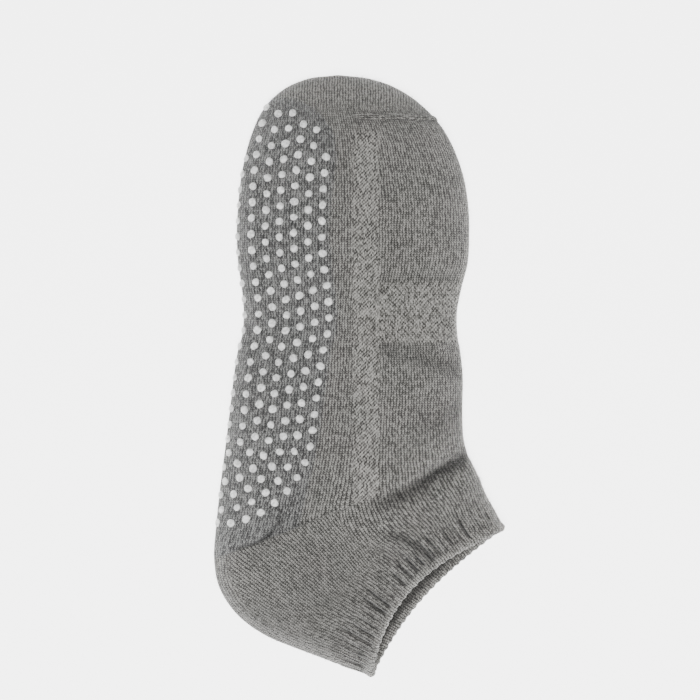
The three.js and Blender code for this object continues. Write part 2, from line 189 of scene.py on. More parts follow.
# Vectors divided by their lengths.
def unit(vectors):
    return vectors / np.linalg.norm(vectors, axis=-1, keepdims=True)


# The length run through along an axis of a grid of points, from 0.
def lengthAlong(points, axis):
    steps = np.linalg.norm(np.diff(points, axis=axis), axis=-1)
    return np.concatenate([0 * np.take(steps, [0], axis), np.cumsum(steps, axis)], axis)


# The outside of the sock, with the share of the way across and the width there. turn 0 is the sole fold,
# 0 to 0.5 goes over the upper wall as a flattened ellipse, and 0.5 to 1 comes back along the floor as a
# quarter ellipse, a straight run and a quarter ellipse.
def skin(t, turn):
    t, turn = np.broadcast_arrays(np.asarray(t, float), np.asarray(turn, float))
    row = blendSections(t)
    sole, across = row[..., 0:2], row[..., 2:4] - row[..., 0:2]
    width = np.linalg.norm(across, axis=-1)
    height, lift, grip, sag = [row[..., k] for k in (4, 5, 6, 7)]
    foldHeight = sock["foldShare"] * height
    reach = np.minimum(sock["foldReach"], sock["reachShare"] * width)
    over = turn - np.floor(turn)
    top = over <= 0.5
    side = np.cos(2 * np.pi * over)
    acrossTop = 0.5 * width * (1 - np.sign(side) * np.abs(side) ** sock["domePower"])
    zTop = foldHeight + (height - foldHeight) * np.abs(np.sin(2 * np.pi * over)) ** sock["domePower"]
    curlShare = 1 / 6
    back = (over - 0.5) / 0.5
    curl = np.minimum(back, 1 - back) / curlShare
    angle = np.clip(curl, 0, 1) * 0.5 * np.pi
    inFromFold = reach * (1 - np.cos(angle))
    flat = (back - curlShare) / (1 - 2 * curlShare)
    acrossLow = np.where(back < 0.5, width - inFromFold, inFromFold)
    acrossLow = np.where(curl > 1, width - reach - flat * (width - 2 * reach), acrossLow)
    onDots = (dots["height"] + sock["clearance"]) * grip
    gripEnd = sock["soleHalfWidth"]
    onDots = onDots * (1 - smoothStep(gripEnd, gripEnd + sock["gripFade"], acrossLow))
    raised = np.maximum(np.maximum(lift, onDots), 0)
    zLow = raised + (foldHeight - raised) * (1 - np.sin(angle))
    share = np.where(top, acrossTop, acrossLow) / width
    dip = np.where(top, sock["dipUpper"], sock["dipLower"])
    fromFront = np.clip(1 - share, 0, 1) ** sock["sagSkew"]
    hang = dip * sag * np.sin(np.pi * fromFront) ** sock["sagFullness"]
    plan = sole + across * share[..., None] - hang[..., None] * legWay
    z = np.where(top, zTop, zLow)
    return np.concatenate([plan, z[..., None]], axis=-1), share, width


# Unit normals that face out, from small steps along the foot and round it.
def skinNormals(t, turn):
    step = 0.004
    low, high = np.maximum(t - step, 0), np.minimum(t + step, len(sections) - 1)
    along = skin(high, turn)[0] - skin(low, turn)[0]
    around = skin(t, turn + step)[0] - skin(t, turn - step)[0]
    return unit(np.cross(along, around)), around


# Metres in the frame, with nothing lower than the clearance over the floor.
def toFrame(points):
    lifted = points.copy()
    lifted[..., 2] = np.maximum(lifted[..., 2], sock["clearance"])
    return (lifted - footprintMiddle) * mm


# The shortest distance in plan from every point to a chain of straight lines, positive on the left of
# its direction, and the share of the way along it.
def chainDistance(points, chain):
    chain = np.asarray(chain, dtype=float)
    best = np.full(points.shape[:-1], 1e9)
    along = np.zeros_like(best)
    for k in range(len(chain) - 1):
        a, b = chain[k], chain[k + 1]
        d = b - a
        f = np.clip(((points[..., :2] - a) @ d) / (d @ d), 0, 1)
        off = points[..., :2] - (a + f[..., None] * d)
        leftOf = d[0] * off[..., 1] - d[1] * off[..., 0]
        signed = np.linalg.norm(off, axis=-1) * np.where(leftOf < 0, -1, 1)
        near = np.abs(signed) < np.abs(best)
        best = np.where(near, signed, best)
        along = np.where(near, (k + f) / (len(chain) - 1), along)
    return best, along


# Smooth value noise over the plan from a seeded lattice, in two octaves, about -1 to 1: the corners of a
# cell are mixed by 3f^2 - 2f^3 of the place f in it.
def softNoise(points, cell, seed):
    rng = np.random.default_rng(seed)
    size, shift = 64, 20
    total = np.zeros(points.shape[:-1])
    for octave in range(2):
        lattice = rng.uniform(-1, 1, (size, size))
        place = points[..., :2] / cell * 2**octave + shift
        i = np.floor(place).astype(int)
        f = place - i
        f = f * f * (3 - 2 * f)
        fx, fy = f[..., 0], f[..., 1]
        left, right = i[..., 0] % size, (i[..., 0] + 1) % size
        near, far = i[..., 1] % size, (i[..., 1] + 1) % size
        low = lattice[left, near] * (1 - fx) + lattice[right, near] * fx
        high = lattice[left, far] * (1 - fx) + lattice[right, far] * fx
        total += (low * (1 - fy) + high * fy) / 2**octave
    return total


def addObject(name, data):
    thing = bpy.data.objects.new(name, data)
    bpy.context.scene.collection.objects.link(thing)
    return thing


# A mesh object from points and blocks of faces, with a UV map for each array of corner coordinates and a
# point attribute for each array of values.
def meshObject(name, points, blocks, uvMaps=None, attributes=None):
    mesh = bpy.data.meshes.new(name)
    faces = [face for block in blocks for face in block.tolist()]
    mesh.from_pydata(points.reshape(-1, 3).tolist(), [], faces)
    for key, uv in (uvMaps or {}).items():
        layer = mesh.uv_layers.new(name=key)
        layer.data.foreach_set("uv", np.ascontiguousarray(uv, dtype=np.float32).ravel())
    for key, values in (attributes or {}).items():
        layer = mesh.attributes.new(key, "FLOAT", "POINT")
        layer.data.foreach_set("value", np.ascontiguousarray(values, dtype=np.float32).ravel())
    mesh.polygons.foreach_set("use_smooth", np.ones(len(mesh.polygons), dtype=bool))
    mesh.update()
    return addObject(name, mesh)


# Faces of a grid of rows by columns that closes on itself round the columns.
def tubeFaces(rows, columns, start=0, flip=False):
    i, j = np.meshgrid(np.arange(rows - 1), np.arange(columns), indexing="ij")
    k = (j + 1) % columns
    quads = np.stack([i * columns + j, (i + 1) * columns + j, (i + 1) * columns + k, i * columns + k], -1)
    quads = quads.reshape(-1, 4) + start
    return quads[:, ::-1] if flip else quads


# Corner values for tubeFaces from a grid that has one column more than the tube.
def tubeCorners(grid, flip=False):
    corners = np.stack([grid[:-1, :-1], grid[1:, :-1], grid[1:, 1:], grid[:-1, 1:]], 2)
    corners = corners.reshape(-1, 4, grid.shape[-1])
    return corners[:, ::-1] if flip else corners


print("frame loaded")

# Camera: straight above as in the photo, which is view.frame pixels wide and high. The scale is in
# millimetres a pixel, originX and originY are the pixel at the frame's origin, and the camera stands
# width of the view * lens / sensor over the sock's outline.
view = {
    "scale": 0.44,
    "frame": 700,
    "originX": 358.9,
    "originY": 375.0,
    "lens": 90.0,
    "sensor": 36.0,
    "outlineHeight": 6.0,
}


def makeCamera():
    data = bpy.data.cameras.new("camera")
    data.lens, data.sensor_width, data.sensor_fit = view["lens"], view["sensor"], "HORIZONTAL"
    half = 0.5 * view["frame"]
    centre = [(half - view["originX"]) * view["scale"], (view["originY"] - half) * view["scale"]]
    distance = view["frame"] * view["scale"] * view["lens"] / view["sensor"]
    camera = addObject("camera", data)
    camera.location = [centre[0] * mm, centre[1] * mm, (distance + view["outlineHeight"]) * mm]
    bpy.context.scene.camera = camera


makeCamera()


# Node helpers: a shader node with its inputs set or linked by name or number, and short forms of it.
def addNode(tree, kind, inputs=None, **settings):
    node = tree.nodes.new(kind if kind.startswith("NodeGroup") else "ShaderNode" + kind)
    for key, value in settings.items():
        setattr(node, key, value)
    for key, value in (inputs or {}).items():
        if isinstance(value, bpy.types.NodeSocket):
            tree.links.new(value, node.inputs[key])
        else:
            node.inputs[key].default_value = value
    return node


def mathNode(tree, operation, a, b=0.0, c=0.0):
    return addNode(tree, "Math", {0: a, 1: b, 2: c}, operation=operation).outputs[0]


def times(tree, a, b):
    return mathNode(tree, "MULTIPLY", a, b)


def minus(tree, a, b):
    return mathNode(tree, "SUBTRACT", a, b)


def timesPlus(tree, a, b, c):
    return mathNode(tree, "MULTIPLY_ADD", a, b, c)


def noiseNode(tree, vector, scale, detail, roughness=0.5):
    inputs = {"Vector": vector, "Scale": scale, "Detail": detail, "Roughness": roughness}
    return addNode(tree, "TexNoise", inputs).outputs[0]


def mixFloat(tree, factor, a, b):
    return addNode(tree, "Mix", {0: factor, 2: a, 3: b}, data_type="FLOAT").outputs[0]


def mixColour(tree, factor, a, b, blend="MIX"):
    inputs = {0: factor, 6: a, 7: b}
    return addNode(tree, "Mix", inputs, data_type="RGBA", blend_type=blend).outputs[2]


# The colour times one grey value.
def shadeBy(tree, colour, grey):
    greyColour = addNode(tree, "CombineColor", {0: grey, 1: grey, 2: grey}).outputs[0]
    return mixColour(tree, 1.0, colour, greyColour, "MULTIPLY")


# A new material with an empty tree, and the Principled shader that ends such a tree.
def newMaterial(name):
    material = bpy.data.materials.new(name)
    material.use_nodes = True
    material.node_tree.nodes.clear()
    return material, material.node_tree


def addShader(tree, inputs):
    shader = addNode(tree, "BsdfPrincipled", inputs)
    addNode(tree, "OutputMaterial", {"Surface": shader.outputs[0]})


# One knitted loop in shares of a wale: how far the wales wander, how steeply the legs of a loop lean, the
# groove between them, what a course adds to the height, and the streaks along the yarn.
loop = {
    "wander": 0.8,
    "wanderScale": 0.16,
    "courseWander": 0.7,
    "lean": 1.5,
    "edgePower": 3.0,
    "grooveHalf": 0.14,
    "grooveDepth": 1.5,
    "courseRise": 0.68,
    "lowest": 0.34,
    "streakStretch": (2.1, 1.8, 1.0),
    "streakShare": 0.5,
}


# Knitted loops: x of the vector counts wales and y courses. The height is a rounded column for each wale,
# with the V of a loop's two legs in it. The fleck is one value for each leg plus noise along the wale.
def knitGroup():
    tree = bpy.data.node_groups.new("knitLoops", "ShaderNodeTree")
    tree.interface.new_socket("Stitches", in_out="INPUT", socket_type="NodeSocketVector")
    for key in ("Height", "Fleck"):
        tree.interface.new_socket(key, in_out="OUTPUT", socket_type="NodeSocketFloat")
    source = addNode(tree, "NodeGroupInput").outputs["Stitches"]
    wobble = noiseNode(tree, source, loop["wanderScale"], 2.0)
    split = addNode(tree, "SeparateXYZ", {0: source})
    shift = timesPlus(tree, wobble, loop["wander"], -0.5 * loop["wander"])
    u = mathNode(tree, "ADD", split.outputs[0], shift)
    v = timesPlus(tree, shift, loop["courseWander"], split.outputs[1])
    offCentre = mathNode(tree, "ABSOLUTE", minus(tree, mathNode(tree, "FRACT", u), 0.5))
    leg = timesPlus(tree, offCentre, loop["lean"], v)
    course = mathNode(tree, "SINE", times(tree, mathNode(tree, "FRACT", leg), math.pi))
    edge = mathNode(tree, "POWER", times(tree, offCentre, 2.0), loop["edgePower"])
    column = minus(tree, 1.0, edge)
    dip = mathNode(tree, "MAXIMUM", minus(tree, loop["grooveHalf"], offCentre), 0.0)
    column = timesPlus(tree, dip, -loop["grooveDepth"], column)
    courseHeight = timesPlus(tree, course, loop["courseRise"], loop["lowest"])
    height = times(tree, column, courseHeight)
    legSide = mathNode(tree, "FLOOR", times(tree, u, 2.0))
    cell = addNode(tree, "CombineXYZ", {0: legSide, 1: mathNode(tree, "FLOOR", leg), 2: 0.0})
    grain = addNode(tree, "TexWhiteNoise", {"Vector": cell.outputs[0]}, noise_dimensions="2D")
    stretched = {0: source, 1: loop["streakStretch"]}
    stretched = addNode(tree, "VectorMath", stretched, operation="MULTIPLY").outputs[0]
    streak = noiseNode(tree, stretched, 1.0, 3.0)
    grainPart = times(tree, grain.outputs[0], 1 - loop["streakShare"])
    fleck = timesPlus(tree, streak, loop["streakShare"], grainPart)
    addNode(tree, "NodeGroupOutput", {"Height": height, "Fleck": fleck})
    return tree


knitLoops = knitGroup()

# The heathered knit. Zones come as point attributes, patterns from the UV maps: tube counts wales and
# courses, fan does so in the heel pocket and the toe, plan is millimetres, gore is along and off the suture.
yarn = {
    "dark": (0.030, 0.029, 0.027, 1),
    "light": (0.345, 0.337, 0.320, 1),
    "soleDark": (0.026, 0.026, 0.026, 1),
    "soleLight": (0.335, 0.335, 0.330, 1),
    "coolCast": (0.97, 1.0, 0.98, 1),
    "warmCast": (1.03, 1.0, 1.0, 1),
    "castScale": 0.06,
    "lightShare": 0.24,
    "speckle": 1.65,
    "soleSpeckle": 0.05,
    # Painted shade in the grooves between loops and painted light on their tops, and how it changes in the
    # fan and on the sole.
    "loopShade": 1.35,
    "fanLoopShade": 0.35,
    "soleLoopShade": -0.4,
    "fuzz": 1.9,
    "fuzzScale": 2.6,
    "fuzzRelief": 0.8,
    "bumpDepth": 0.00055,
    "bend": 1.3,
    "bendScale": 0.12,
    "stripPitch": 1.12,
    "stripHeights": (0.36, 0.17, 0.33),
    "checkPitch": 1.18,
    "checkHeights": (0.5, 0.42),
    "holePitch": 2.2,
    "holeInner": 0.3,
    "holeOuter": 0.75,
    "holeShade": 0.5,
    "holeDepth": 1.5,
}


# The amount of light yarn is lightShare + speckle * (fleck - 0.5) + loopShade * (height - 0.5) + fuzz noise,
# where loopShade * (height - 0.5) is painted shade in the grooves between loops and painted light on their
# tops.
# The strip's height is two crossed rows of waves added, the arch band's is two multiplied.
def makeKnit(name):
    material, tree = newMaterial(name)

    def uvMap(key):
        return addNode(tree, "UVMap", uv_map=key).outputs[0]

    def zone(key):
        return addNode(tree, "Attribute", attribute_name=key).outputs["Fac"]

    def waves(coordinate, pitch):
        wave = mathNode(tree, "SINE", times(tree, coordinate, 2 * math.pi / pitch))
        return timesPlus(tree, wave, 0.5, 0.5)

    def diagonal(operation):
        crossed = mathNode(tree, operation, bent, plan.outputs[1])
        return times(tree, crossed, math.sqrt(0.5))

    onTube, onFan = [
        addNode(tree, "Group", {"Stitches": uvMap(key)}, node_tree=knitLoops)
        for key in ("tube", "fan")
    ]
    height, fleck = [
        mixFloat(tree, zone("fanShare"), onTube.outputs[key], onFan.outputs[key])
        for key in ("Height", "Fleck")
    ]
    planUv = uvMap("plan")
    plan = addNode(tree, "SeparateXYZ", {0: planUv})
    bend = noiseNode(tree, planUv, yarn["bendScale"], 2.0)
    bent = timesPlus(tree, bend, yarn["bend"], plan.outputs[0])
    down, up = diagonal("SUBTRACT"), diagonal("ADD")
    lowest, upHeight, downHeight = yarn["stripHeights"]
    slant = timesPlus(tree, waves(up, yarn["stripPitch"]), upHeight, lowest)
    strip = timesPlus(tree, waves(down, yarn["stripPitch"]), downHeight, slant)
    check = times(tree, waves(down, yarn["checkPitch"]), waves(up, yarn["checkPitch"]))
    lowest, checkHeight = yarn["checkHeights"]
    check = timesPlus(tree, check, checkHeight, lowest)
    height = mixFloat(tree, zone("strip"), height, strip)
    height = mixFloat(tree, zone("band"), height, check)
    fibre = minus(tree, noiseNode(tree, planUv, yarn["fuzzScale"], 4.0, 0.7), 0.5)

    gore = addNode(tree, "SeparateXYZ", {0: uvMap("gore")})
    alongHole = mathNode(tree, "FRACT", mathNode(tree, "DIVIDE", gore.outputs[0], yarn["holePitch"]))
    alongHole = times(tree, minus(tree, alongHole, 0.5), yarn["holePitch"])
    offHole = addNode(tree, "CombineXYZ", {0: alongHole, 1: gore.outputs[1], 2: 0.0})
    fromHole = addNode(tree, "VectorMath", {0: offHole.outputs[0]}, operation="LENGTH")
    fromHole = fromHole.outputs["Value"]
    holeRange = {"Value": fromHole, 1: yarn["holeInner"], 2: yarn["holeOuter"], 3: 1.0, 4: 0.0}
    hole = addNode(tree, "MapRange", holeRange).outputs[0]
    hole = times(tree, hole, zone("suture"))

    # Painted shade in the knit's grooves and painted light on its loops, stronger in the fan and weaker on
    # the sole.
    loopShade = timesPlus(tree, zone("fanShare"), yarn["fanLoopShade"], yarn["loopShade"])
    loopShade = timesPlus(tree, zone("sole"), yarn["soleLoopShade"], loopShade)
    speckle = timesPlus(tree, zone("sole"), yarn["soleSpeckle"], yarn["speckle"])
    offMean = minus(tree, fleck, 0.5)
    amount = timesPlus(tree, offMean, speckle, yarn["lightShare"])
    amount = timesPlus(tree, minus(tree, height, 0.5), loopShade, amount)
    amount = timesPlus(tree, fibre, yarn["fuzz"], amount)
    amount = addNode(tree, "Clamp", {0: amount, 1: 0.0, 2: 1.0}).outputs[0]
    upperTone = mixColour(tree, amount, yarn["dark"], yarn["light"])
    soleTone = mixColour(tree, amount, yarn["soleDark"], yarn["soleLight"])
    colour = mixColour(tree, zone("sole"), upperTone, soleTone)
    mottle = noiseNode(tree, planUv, yarn["castScale"], 2.0)
    cast = mixColour(tree, mottle, yarn["coolCast"], yarn["warmCast"])
    colour = mixColour(tree, 1.0, colour, cast, "MULTIPLY")
    # Mottle, zone tones, painted shade and painted light, all from one attribute.
    toneAndPaintedShading = mathNode(tree, "ADD", zone("toneAndPaintedShading"), 1.0)
    holeTone = timesPlus(tree, hole, -yarn["holeShade"], 1.0)
    colour = shadeBy(tree, colour, times(tree, toneAndPaintedShading, holeTone))

    relief = timesPlus(tree, fibre, yarn["fuzzRelief"], height)
    relief = timesPlus(tree, hole, -yarn["holeDepth"], relief)
    bumpInputs = {"Strength": 0.8, "Distance": yarn["bumpDepth"], "Height": relief}
    shader = {
        "Base Color": colour,
        "Roughness": 0.95,
        "Specular IOR Level": 0.15,
        "Sheen Weight": 0.25,
        "Sheen Roughness": 0.5,
        "Normal": addNode(tree, "Bump", bumpInputs).outputs[0],
    }
    addShader(tree, shader)
    return material


knit = makeKnit("heatherKnit")
print("knit material")

# Creases of the slack sock in plan and patches of painted shade: half width, depth on the upper wall
# (negative for a ridge, 0 for painted shade alone), how much painted shade darkens the knit's colour
# (negative for painted light), and the points. Each fades out at its ends.
creasesAndPaintedShade = [
    (2.8, 1.4, 0.56, [(118, 86.5), (106.3, 76.4), (98.3, 71.2), (88.6, 66.6), (79.6, 59.8), (65.6, 53.6),
                      (49.7, 48.2)]),
    (3.2, 0, 0.24, [(119, 87), (109.3, 76.8), (101, 70), (91, 62.8), (81.6, 56.2), (68, 50.6), (52, 45)]),
    (3.2, -0.9, -0.1, [(56, 58), (66, 62), (76, 66), (86, 72), (94, 79)]),
    (2.2, 1.2, 0.55, [(60, 39), (72, 37.8), (78, 34.2), (83.5, 29.5), (88, 25)]),
    (4.2, -1.1, 0, [(106, 64), (94, 56), (82, 49.5), (68, 44)]),
    (3.8, 1.4, 0.38, [(58, 121), (70, 119.2), (79, 116.8), (88.2, 112.8), (97.5, 110.2), (114, 108)]),
    (7, 0, 0.1, [(118, 98), (104, 93), (88, 88), (72, 86)]),
    (3.4, 0, 0.22, [(112, 101), (103, 96), (95.7, 92), (90, 88.7), (85, 86), (73, 82)]),
    (2.1, 0, 0.2, [(112, 76), (104, 72), (96, 68.8), (89.8, 66.2), (84.5, 63.1), (76, 57.6)]),
    (9, 0, 0.2, [(-4, 14), (14, 5), (33, -5), (61, -12), (84, -19)]),
    (3.5, 0, 0.24, [(80, 14), (74, 6), (69, -1), (64, -8), (60, -15)]),
    (5, 0, 0.18, [(97, 150), (97.3, 130), (99, 115), (99.6, 100), (99.6, 84), (101, 66)]),
    (9, 0, 0.15, [(18, 22), (36, 13), (50, 8), (70, 2), (84, -4)]),
    (7, 0, 0.08, [(14, 42), (30, 37), (42, 30), (54, 20)]),
    (4, 0, -0.14, [(-12, 48), (-9, 34), (-6, 24), (0, 12), (8, 3)]),
    (3, 0.9, 0.15, [(58, 151), (70, 149.6), (80, 150.4), (92, 150.6), (106, 149)]),
    (3.2, 1.3, 0.12, [(58, 34), (68, 31), (80, 26), (88, 20)]),
    (3, 0.6, -0.06, [(84, 47), (94, 42), (104, 36)]),
    (4, 0.5, 0.04, [(2, 122), (14, 118), (28, 117)]),
    (6, 1, 0.04, [(10, 22), (24, 26), (38, 38)]),
    (5, 0.7, 0.04, [(30, 4), (44, 12), (55, 22)]),
    (0.9, 0.5, 0.2, [(9.5, 33.5), (8.2, 29), (4.5, 25)]),
    (0.9, 0.6, 0.2, [(12.3, 35), (11.6, 30), (8.5, 25.5), (5, 23)]),
    (0.9, 0.5, 0.18, [(15, 37), (15, 32), (12.5, 27.5)]),
    (0.9, 0.4, 0.12, [(17.6, 38.5), (18.2, 33), (16.5, 29)]),
]
# Unevenness of the slack knit: amount, cell and seed of the noise in its height, tone and sole edge.
slack = {"broad": (0.45, 15, 3), "fine": (0.13, 4.5, 4), "mottle": (0.03, 22, 5), "soleEdge": (0.006, 2, 8)}
# Where the sole knit laps over the heel pocket: a bulge on one side of a groove, each as off the line,
# width and height, with a narrow and a broad painted shade under the lap, each as off the line, width and
# how much lighter the colour gets.
heelFold = {
    "line": [(21.5, 48.3), (18.9, 44.6), (16.1, 40.4), (13.6, 38), (10.4, 36.1), (6.2, 34.3), (0.9, 33.3)],
    "bulge": (-1.9, 2.2, 1.5),
    "groove": (0.5, 0.9, -1.8),
    "shade": (0.1, 0.65, -0.95),
    "softShade": (3.0, 2.6, -0.16),
}
# Grooves are half width, strength and how many stand on each rib.
ribs = {
    "count": 52,
    "proud": 0.5,
    "deep": 0.8,
    "shade": 1.25,
    "grooves": [(0.2, 1.0, 1), (0.12, 0.7, 2)],
    "seed": 5,
}


# Height of the ribs of the cuff over the skin, and the painted shade of the grooves from how deep in a
# groove
# each point is: a cosine for each rib, less a bell for each groove, which has a random place, depth, start
# and end. The finer set is fainter.
def ribRelief(t, arcShare):
    rng = np.random.default_rng(ribs["seed"])
    total = np.zeros_like(arcShare)
    shade = np.zeros_like(arcShare)
    onFold = hump((arcShare + 0.25) % 0.5 - 0.25, 0.035)
    for wide, strength, onEachRib in ribs["grooves"]:
        count = onEachRib * ribs["count"]
        depth = rng.uniform(0.1, 1.0, count) * strength
        start = cuffRow + rng.uniform(-0.7, 0.2, count)
        stop = collarRow - 0.38 - rng.uniform(0, 0.12, count)
        jitter = rng.uniform(-0.16, 0.16, count)
        u = arcShare * count
        k = np.floor(u + 0.5).astype(int) % count
        x = (u - np.floor(u + 0.5) - jitter[k]) / onEachRib
        fade = smoothStep(start[k], start[k] + 0.4, t) * (1 - smoothStep(stop[k], stop[k] + 0.14, t))
        groove = depth[k] * hump(x, wide) * fade * (1 - 0.8 * onFold)
        total -= ribs["deep"] * groove
        shade += ribs["shade"] * groove
    u = arcShare * ribs["count"]
    crown = np.cos(np.pi * (u - np.floor(u + 0.5))) ** 2
    rise = smoothStep(cuffRow - 0.5, cuffRow + 0.25, t)
    return total + ribs["proud"] * rise * (0.5 + 0.5 * (1 - crown)), np.clip(shade, 0, 1)


# The knitted body: rows and columns outside and inside, and how it closes at the toe and under the cuff.
body = {
    "rows": 330,
    "gridRows": 390,
    "topColumns": 170,
    "lowColumns": 86,
    "goreCloser": 1.6,
    "innerRows": 60,
    "innerColumns": 120,
    "innerStart": 0.35,
    # Painted shade on the inside of the knit.
    "innerPaintedShade": -0.12,
    "capRings": 6,
    "capBulge": 0.16,
    "under": 0.12,
    "sink": 0.9,
}


# Rows of the knit: t steps that are even along the longest of three lines, and closer at the heel gore.
def knitRows(count, end):
    t = np.linspace(0, end, 4001)
    lines = [skin(t, turn)[0] for turn in (0.02, 0.25, 0.48)]
    stride = np.max([np.linalg.norm(np.diff(line, axis=0), axis=1) for line in lines], axis=0)
    middle = 0.5 * (t[1:] + t[:-1])
    stride = stride * (1 + body["goreCloser"] * hump(middle - goreRow + 0.15, 0.4))
    length = np.concatenate([[0], np.cumsum(stride)])
    return np.interp(np.linspace(0, length[-1], count), length, t)


turnGrid = np.concatenate(
    [np.linspace(0, 0.5, body["topColumns"] + 1)[:-1], np.linspace(0.5, 1, body["lowColumns"] + 1)]
)
rowGrid = knitRows(body["gridRows"], collarRow)
allSkin = skin(*np.meshgrid(rowGrid, turnGrid, indexing="ij"))[0]
ballRow = 8.0


# Stitch coordinates: the share of the girth from the sole fold, and courses from the length along each
# column, counted from the ball of the foot.
def stitchGrid():
    girth, length = lengthAlong(allSkin, 1), lengthAlong(allSkin, 0)
    ball = np.searchsorted(rowGrid, ballRow)
    return girth / girth[:, -1:], (length - length[ball]) / sock["coursePitch"]


arcGrid, courseGrid = stitchGrid()


# Values of a grid over rowGrid and turnGrid at any t and turn, bilinear.
def gridSample(grid, t, turn):
    row = np.interp(t, rowGrid, np.arange(len(rowGrid)))
    column = np.interp(turn, turnGrid, np.arange(len(turnGrid)))
    i = np.minimum(np.floor(row).astype(int), len(rowGrid) - 2)
    j = np.minimum(np.floor(column).astype(int), len(turnGrid) - 2)
    f, g = row - i, column - j
    low = grid[i, j] * (1 - g) + grid[i, j + 1] * g
    high = grid[i + 1, j] * (1 - g) + grid[i + 1, j + 1] * g
    return low * (1 - f) + high * f


# The heel gore: its line from the sole fold, how the wales lean towards it, where its holes lie, and the
# point round which the heel pocket's wales fan out.
gore = {
    "line": [tuple(sections[goreRow, 0:2]), (20.5, 40.5), (45.1, 50.6)],
    "leanReach": 36,
    "leanShares": (0.42, 0.66),
    "leanWales": 3.4,
    "holesStart": (0, 2),
    "holesEnd": (25.5, 27),
    "holesWide": 3.0,
    "fanX": 160.0,
    "fanY": -96.8,
    "fanRadius": 172.0,
    "fanFrom": 12,
}
# Edges of the knit's zones: millimetres in plan, a share of the way across for the heel pocket, sections
# where the key says rows. Each pair is where the knit starts to change and where it has changed.
zoneEdges = {
    "bandMiddle": 135.2,
    "bandHalf": (12.4, 13.9),
    "bandStart": (60, 64),
    "bandSink": 0.35,
    "stripMiddle": 56.7,
    "stripHalf": (4.7, 6.8),
    "stripStart": (50, 54),
    "stripEnd": (212, 216),
    "soleToeReach": 31.6,
    "pocketEdge": 0.48,
    "toeRows": (3.0, 4.6),
    "seamLine": 220.6,
    "seamRows": 7,
}
# How much lighter each zone looks. A rim is painted light along the instep's or the sole's fold: how much
# lighter, and its width.
zoneTones = {
    "cuff": 0.12,
    # ribs: painted shade in the cuff's rib grooves.
    "ribs": -0.8,
    "strip": 0.12,
    "band": 0.1,
    "sole": -0.05,
    "pocket": -0.08,
    "instepRimPaintedLight": (0.5, 1.6),
    "soleRimPaintedLight": (0.12, 3.5),
    "besideSeam": -0.22,
    "darkest": -0.78,
}
